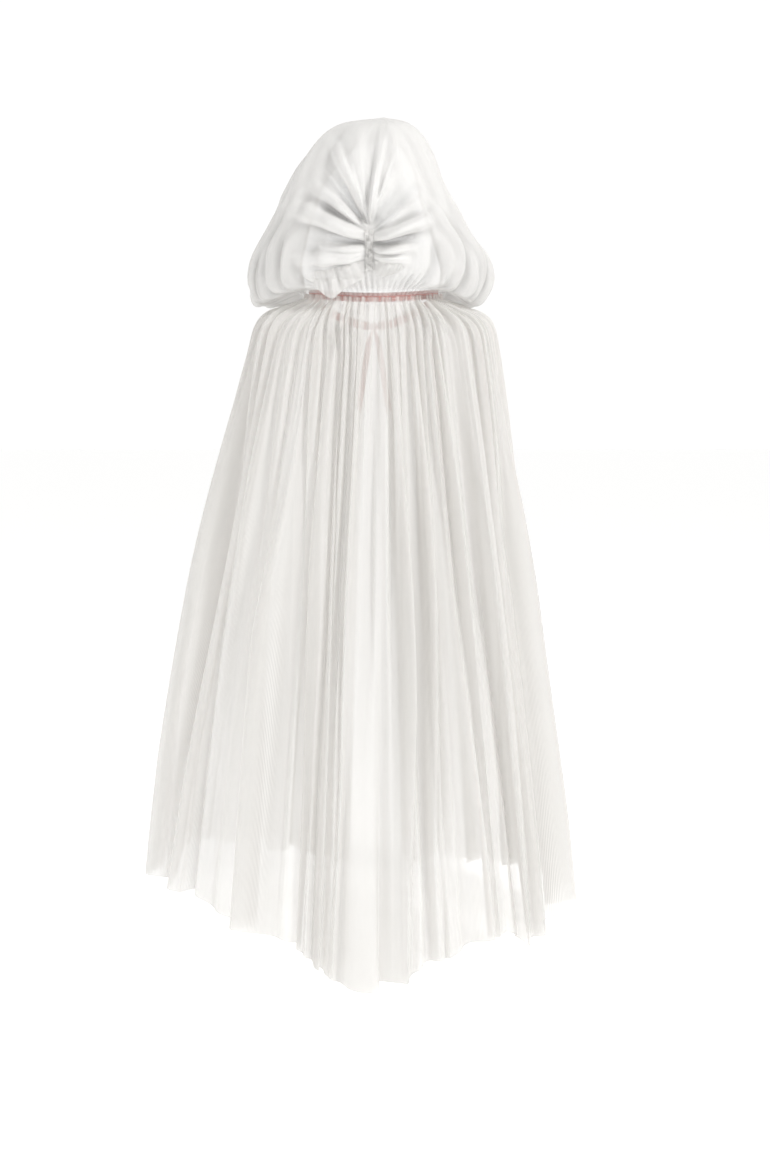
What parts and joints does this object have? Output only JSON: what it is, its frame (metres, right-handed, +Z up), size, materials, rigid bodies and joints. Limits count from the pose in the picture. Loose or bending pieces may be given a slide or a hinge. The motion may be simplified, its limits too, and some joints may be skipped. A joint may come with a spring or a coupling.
{
  "type": "hooded tulle cloak",
  "caption": "Long sheer cloak gathered on a ribbon neck band, open down the front, with a wide blousing hood ruched at the centre back",
  "frame": {"origin": "the middle of the neck opening, level with the top of the ribbon neckline at the sides", "axes": "+Z up the wearer, -Y the way the wearer faces, +X the wearer's left"},
  "size_m": [0.8837, 0.7005, 1.5985],
  "materials": {
    "tulle": "sheer ivory net with a soft dry sheen",
    "rose_ribbon": "satin ribbon, dusty rose"
  },
  "bodies": {
    "root": {"cape_back": "tulle", "cape_left_front": "tulle", "cape_right_front": "tulle", "hood": "tulle", "hood_tab": "tulle", "hood_fall_left": "tulle", "hood_fall_right": "tulle", "neck_band": "rose_ribbon", "tie_knot": "rose_ribbon", "tie_end_left": "rose_ribbon", "tie_end_right": "rose_ribbon"}
  },
  "joints": []
}
